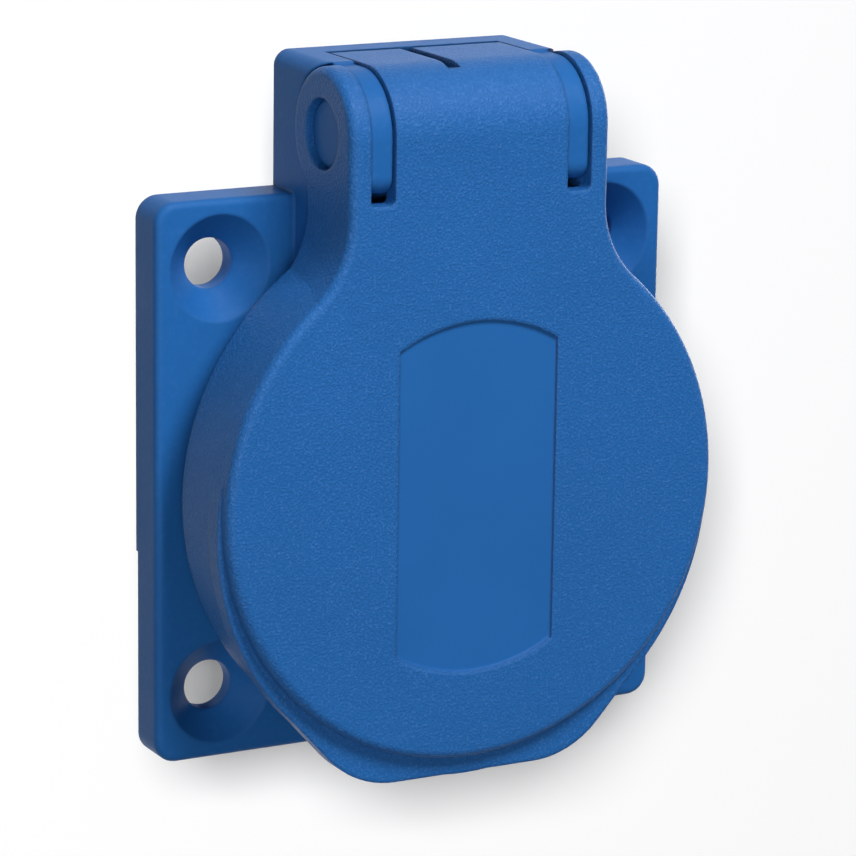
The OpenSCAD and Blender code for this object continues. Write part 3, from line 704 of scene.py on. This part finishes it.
class SOCKET_OT_contacts(bpy.types.Operator):
    """Gives the contacts and the earth strap brushed brass, and the small parts plated steel"""
    bl_idname = "socket.contacts"
    bl_label = "Contacts and screws"

    def execute(self, context):
        s = context.scene.socket_metal
        brass = metal("brass", s.brass, s.brush, roughness=0.26, dull=0.62)
        zinc = metal("plated steel", s.zinc, s.brush, roughness=0.30, dull=0.75)
        finish_with(["live_contact", "neutral_contact", "earth_strap"], brass)
        plated = [name for name in NODES if name.startswith("carrier_screw")
                  or name.endswith(("clamp", "screw", "contact_spring"))]
        finish_with(plated, zinc)
        return {"FINISHED"}


class SOCKET_OT_spring(bpy.types.Operator):
    """Winds the lid's spring on the hinge pin"""
    bl_idname = "socket.spring"
    bl_label = "Lid spring"

    def execute(self, context):
        s = context.scene.socket_spring
        _, axis_y, axis_z = JOINT["pos_m"]
        low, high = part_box("lid_spring")
        path = spring_path(s.coil, s.turns, s.start, s.pitch, axis_y, axis_z,
                           high[1] - LEG_SETBACK, low[2] + LEG_SETBACK)
        lean = np.tile(WIRE_LEAN, (len(path), 1))
        points, faces = wire_mesh(path, s.wire * WIRE_FIT, WIRE_SIDES, lean)
        steel = metal("spring steel", SPRING_STEEL, 0.08 * MM, roughness=0.22, dull=0.7)
        coil = add_piece("lid_spring_coil", points, faces, None, steel)
        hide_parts("lid_spring")
        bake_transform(coil)
        return {"FINISHED"}


class SOCKET_OT_seals(bpy.types.Operator):
    """Moulds the lid's gasket and the panel seal, with round edges and a crowned back"""
    bl_idname = "socket.seals"
    bl_label = "Seals"

    def execute(self, context):
        s = context.scene.socket_seal
        skin = rubber("black rubber", s.colour)
        for name, body in (("lid_gasket", "lid"), ("panel_seal", "socket")):
            points, faces = ring_mesh(seal_outline(name, s.rounding), SEAL_STEPS)
            ring = add_piece(name + "_ring", points, faces, body, skin)
            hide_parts(name)
        return {"FINISHED"}


# ---------------------------------------------------------------- stage

def sweep_sheet(wall_y, floor_z, bend, reach):
    """Backdrop as one sheet from side to side.

    Its floor runs back, a quarter circle of the bend's radius turns it up, and its wall runs up.
    """
    floor = np.stack([np.linspace(-reach, wall_y - bend, FLAT_STEPS),
                      np.full(FLAT_STEPS, floor_z)], axis=1)
    turn = np.linspace(0, math.pi / 2, BEND_STEPS)[1:-1]
    curve = np.stack([wall_y - bend + bend * np.sin(turn),
                      floor_z + bend - bend * np.cos(turn)], axis=1)
    wall = np.stack([np.full(FLAT_STEPS, wall_y),
                     np.linspace(floor_z + bend, reach, FLAT_STEPS)], axis=1)
    profile = np.vstack([floor, curve, wall])
    side = np.array([-reach, reach])
    points = np.stack([np.broadcast_to(side[None, :], (len(profile), 2)),
                       np.broadcast_to(profile[:, :1], (len(profile), 2)),
                       np.broadcast_to(profile[:, 1:], (len(profile), 2))],
                      axis=-1).reshape(-1, 3)
    return points, grid_faces(len(profile), 2, wrap_columns=False)


def seen_directly(tree, path):
    """1 for the camera's rays and for those that a mirror or glass passes on, otherwise 0."""
    passed_on = maths(tree, "MAXIMUM", path.outputs["Is Glossy Ray"],
                      path.outputs["Is Transmission Ray"])
    return maths(tree, "MAXIMUM", path.outputs["Is Camera Ray"], passed_on)


def backdrop_material():
    """Pale paper that holds the shadow and is lifted to white where it is seen.

    It is clear from behind, and to the rays that carry shadow or soft light to the socket.
    """
    material = bpy.data.materials.new("pale backdrop")
    material.use_nodes = True
    tree = material.node_tree
    tree.nodes.clear()
    paper = node(tree, "ShaderNodeBsdfDiffuse", {"Color": PAPER})
    path = tree.nodes.new("ShaderNodeLightPath")
    lift = maths(tree, "MULTIPLY", seen_directly(tree, path), PAPER_LIFT)
    glow = node(tree, "ShaderNodeEmission", {"Color": WHITE, "Strength": lift})
    sheet = node(tree, "ShaderNodeAddShader", {0: paper.outputs[0], 1: glow.outputs[0]})
    behind = tree.nodes.new("ShaderNodeNewGeometry").outputs["Backfacing"]
    passed = maths(tree, "MAXIMUM", path.outputs["Is Shadow Ray"], path.outputs["Is Diffuse Ray"])
    gone = maths(tree, "MAXIMUM", behind, passed)
    clear = tree.nodes.new("ShaderNodeBsdfTransparent")
    shown = node(tree, "ShaderNodeMixShader", {0: gone, 1: sheet.outputs[0], 2: clear.outputs[0]})
    output = tree.nodes.new("ShaderNodeOutputMaterial")
    tree.links.new(shown.outputs[0], output.inputs[0])
    lay_out(tree)
    return material


def light_world(strength):
    """An even pale surround; the camera, mirrors and glass see it white."""
    world = bpy.data.worlds.new("pale surround")
    world.use_nodes = True
    tree = world.node_tree
    tree.nodes.clear()
    seen = seen_directly(tree, tree.nodes.new("ShaderNodeLightPath"))
    level = maths(tree, "ADD", maths(tree, "MULTIPLY", seen, 1.0 - strength), strength)
    surround = node(tree, "ShaderNodeBackground", {"Color": WHITE, "Strength": level})
    output = tree.nodes.new("ShaderNodeOutputWorld")
    tree.links.new(surround.outputs[0], output.inputs[0])
    bpy.context.scene.world = world


def add_softbox(name, place_at, size, power):
    """A square white area light that faces the socket's middle."""
    data = bpy.data.lights.new(name, "AREA")
    data.shape, data.size, data.energy = "SQUARE", size, power
    lamp = bpy.data.objects.new(name, data)
    lamp.location = place_at
    lamp.rotation_mode = "QUATERNION"
    lamp.rotation_quaternion = (-Vector(place_at)).to_track_quat("-Z", "Y")
    bpy.context.scene.collection.objects.link(lamp)
    return lamp


def light_only(lamp, piece, state):
    """Links a lamp to one piece: INCLUDE lights nothing else, EXCLUDE lights all but it."""
    linked = bpy.data.collections.new(lamp.name + " receivers")
    linked.objects.link(piece)
    linked.collection_objects[0].light_linking.link_state = state
    lamp.light_linking.receiver_collection = linked


def view_axes(azimuth, elevation, roll):
    """Right, up and back vectors of a camera that looks at the socket from an angle.

    Back comes from the two angles, right lies level across it, up is their cross product, and the
    roll turns right and up about back.
    """
    back = Vector((math.sin(azimuth) * math.cos(elevation),
                   -math.cos(azimuth) * math.cos(elevation), math.sin(elevation)))
    right = Vector((math.cos(azimuth), math.sin(azimuth), 0))
    up = back.cross(right)
    return (right * math.cos(roll) + up * math.sin(roll),
            up * math.cos(roll) - right * math.sin(roll), back)


class SOCKET_OT_stage(bpy.types.Operator):
    """Sets the camera, the pale backdrop and the soft lights"""
    bl_idname = "socket.stage"
    bl_label = "Stage"

    def execute(self, context):
        s = context.scene.socket_stage
        data = bpy.data.cameras.new("camera")
        data.sensor_width, data.lens = SENSOR, s.lens
        data.clip_start, data.clip_end = CLIP
        camera = bpy.data.objects.new("camera", data)
        right, up, back = view_axes(s.azimuth, s.elevation, s.roll)
        place_at = Matrix.Translation(Vector(s.target) + back * s.distance)
        camera.matrix_world = place_at @ Matrix((right, up, back)).transposed().to_4x4()
        context.scene.collection.objects.link(camera)
        context.scene.camera = camera

        points, faces = sweep_sheet(s.wall, s.floor, SHEET_BEND, SHEET_REACH)
        sheet = add_piece("backdrop", points, faces, None, backdrop_material())
        light_world(s.ambient)

        _, _, behind = view_axes(s.azimuth - s.drop_side, s.elevation + s.drop_rise, 0)
        drop = add_softbox("drop", behind * DROP_DISTANCE, DROP_SIZE, s.drop)
        light_only(drop, sheet, "INCLUDE")
        for name, (lamp_at, size) in LAMPS.items():
            lamp = add_softbox(name, lamp_at, size, getattr(s, name))
            light_only(lamp, sheet, "EXCLUDE")
        context.scene.view_settings.view_transform = "Standard"
        return {"FINISHED"}


OPERATORS = [SOCKET_OT_effects, SOCKET_OT_housing, SOCKET_OT_lid, SOCKET_OT_insert,
             SOCKET_OT_contacts, SOCKET_OT_spring, SOCKET_OT_seals, SOCKET_OT_stage]


class SOCKET_PT_panel(bpy.types.Panel):
    """Lists the settings and the steps"""
    bl_idname = "SOCKET_PT_panel"
    bl_label = "Panel Socket"
    bl_space_type = "VIEW_3D"
    bl_region_type = "UI"
    bl_category = "Panel Socket"

    def draw(self, context):
        layout = self.layout
        for key, settings in SETTINGS.items():
            box = layout.box()
            box.label(text=key.replace("_", " ").capitalize())
            for name in settings.__annotations__:
                box.prop(getattr(context.scene, key), name)
        for operator in OPERATORS:
            layout.operator(operator.bl_idname)


CLASSES = [*SETTINGS.values(), *OPERATORS, SOCKET_PT_panel]


def register():
    for made in CLASSES:
        bpy.utils.register_class(made)
    for key, settings in SETTINGS.items():
        setattr(bpy.types.Scene, key, PointerProperty(type=settings))


def unregister():
    for key in SETTINGS:
        delattr(bpy.types.Scene, key)
    for made in reversed(CLASSES):
        bpy.utils.unregister_class(made)


def main():
    register()
    for operator in OPERATORS:
        group, name = operator.bl_idname.split(".")
        if getattr(getattr(bpy.ops, group), name)() != {"FINISHED"}:
            raise RuntimeError(operator.bl_idname + " did not finish")


if __name__ == "__main__":
    main()
